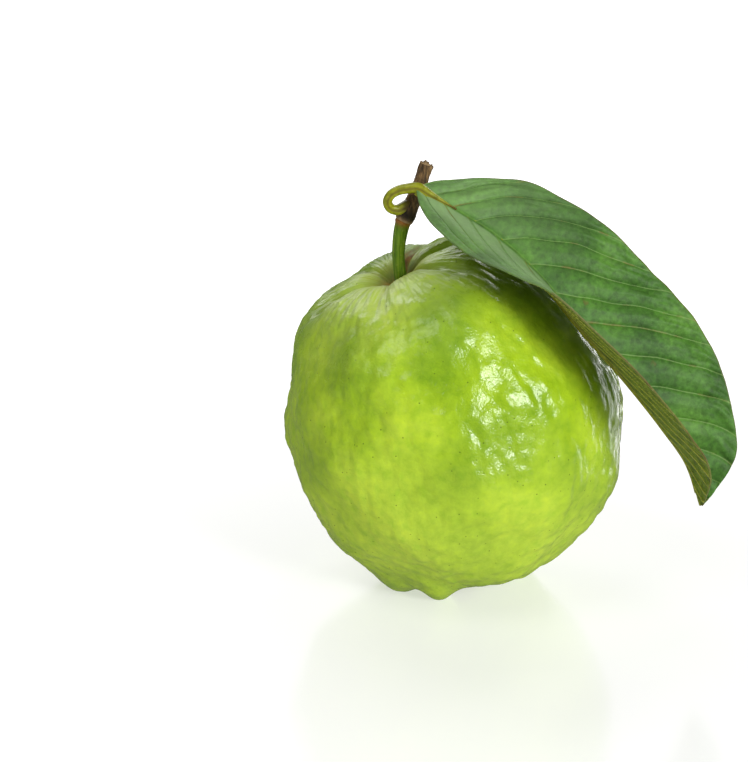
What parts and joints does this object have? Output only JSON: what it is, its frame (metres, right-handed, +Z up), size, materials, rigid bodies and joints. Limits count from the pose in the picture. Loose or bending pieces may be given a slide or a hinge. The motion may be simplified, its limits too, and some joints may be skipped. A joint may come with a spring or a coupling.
{
  "type": "guava",
  "caption": "Whole green guava with its stalk, a stub of twig and one folded leaf, standing on its blossom end.",
  "frame": {"origin": "on the surface it stands on, below the middle of the whole object's outer box", "axes": "+Z up, +X towards the side that the leaf hangs over, -Y towards the leaf's face and the front"},
  "size_m": [0.118, 0.092, 0.116],
  "materials": {
    "skin": "satin",
    "green_stalk": "satin",
    "bark": "matte",
    "leaf_green": "satin",
    "dry_calyx": "matte"
  },
  "bodies": {
    "root": {"fruit": "skin", "calyx": "dry_calyx", "fruit_stalk": "green_stalk", "twig": "bark", "leaf": "leaf_green"}
  },
  "joints": []
}
